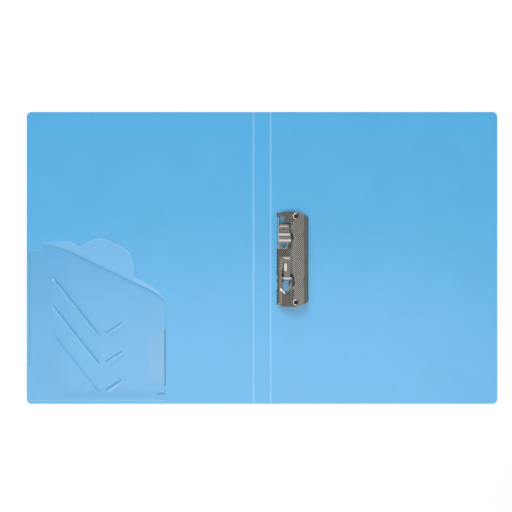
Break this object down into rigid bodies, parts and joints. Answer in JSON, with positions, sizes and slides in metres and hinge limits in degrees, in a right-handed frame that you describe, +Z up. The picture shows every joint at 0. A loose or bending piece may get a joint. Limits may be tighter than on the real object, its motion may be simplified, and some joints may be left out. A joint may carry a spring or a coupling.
{
  "type": "lever clip folder",
  "caption": "Open A4 plastic folder with pressed spine creases, an inside pocket with thumb tab, and a steel lever clip riveted beside the spine.",
  "frame": {"origin": "middle of the open folder's underside, which is the middle of the spine", "axes": "X across the open folder with the front cover at -X and the clip at +X; Y up the covers; Z up from the surface it lies on, towards the clip"},
  "size_m": [0.494, 0.306, 0.0153],
  "materials": {
    "folder_plastic": "thin blue polypropylene, slightly see-through, soft gloss",
    "pocket_plastic": "thin clear polypropylene film, see-through, soft gloss",
    "plated_steel": "nickel plated stamped steel",
    "textured_steel": "nickel plated steel with a fine diamond embossing",
    "pin_steel": "drawn steel wire, plated",
    "spring_steel": "drawn spring wire",
    "rivet_steel": "nickel plated rivet"
  },
  "bodies": {
    "back_cover": {"back_cover": "folder_plastic", "base_plate": "plated_steel", "hinge_rod": "pin_steel", "lever_pin": "pin_steel", "upper_spring": "spring_steel", "lower_spring": "spring_steel", "upper_rivet": "rivet_steel", "lower_rivet": "rivet_steel"},
    "back_crease": {"back_crease": "folder_plastic"},
    "spine": {"spine_panel": "folder_plastic"},
    "front_crease": {"front_crease": "folder_plastic"},
    "front_cover": {"front_cover": "folder_plastic", "pocket_sheet": "pocket_plastic"},
    "clamp_plate": {"clamp_plate": "textured_steel"},
    "lever": {"lever": "textured_steel"}
  },
  "joints": [
    {"name": "back_crease_outer_bend", "type": "hinge", "parent": "back_cover", "child": "back_crease", "pos_m": [0.01, 0, 0.00045], "axis": [0, 1, 0], "range_deg": [0, 45]},
    {"name": "back_crease_inner_bend", "type": "hinge", "parent": "back_crease", "child": "spine", "pos_m": [0.008, 0, 0.00045], "axis": [0, 1, 0], "range_deg": [0, 45]},
    {"name": "front_crease_inner_bend", "type": "hinge", "parent": "spine", "child": "front_crease", "pos_m": [-0.008, 0, 0.00045], "axis": [0, 1, 0], "range_deg": [0, 45]},
    {"name": "front_crease_outer_bend", "type": "hinge", "parent": "front_crease", "child": "front_cover", "pos_m": [-0.01, 0, 0.00045], "axis": [0, 1, 0], "range_deg": [0, 45]},
    {"name": "lever_lift", "type": "hinge", "parent": "back_cover", "child": "lever", "pos_m": [0.0325, -0.0216, 0.0083], "axis": [-1, 0, 0], "range_deg": [-75, 0]},
    {"name": "jaw_open", "type": "hinge", "parent": "back_cover", "child": "clamp_plate", "pos_m": [0.0175, -0.0016, 0.0042], "axis": [0, 1, 0], "range_deg": [-18, 0]}
  ],
  "couplings": [
    {"joint": "jaw_open", "follows": "lever_lift", "ratio": 0.24}
  ]
}
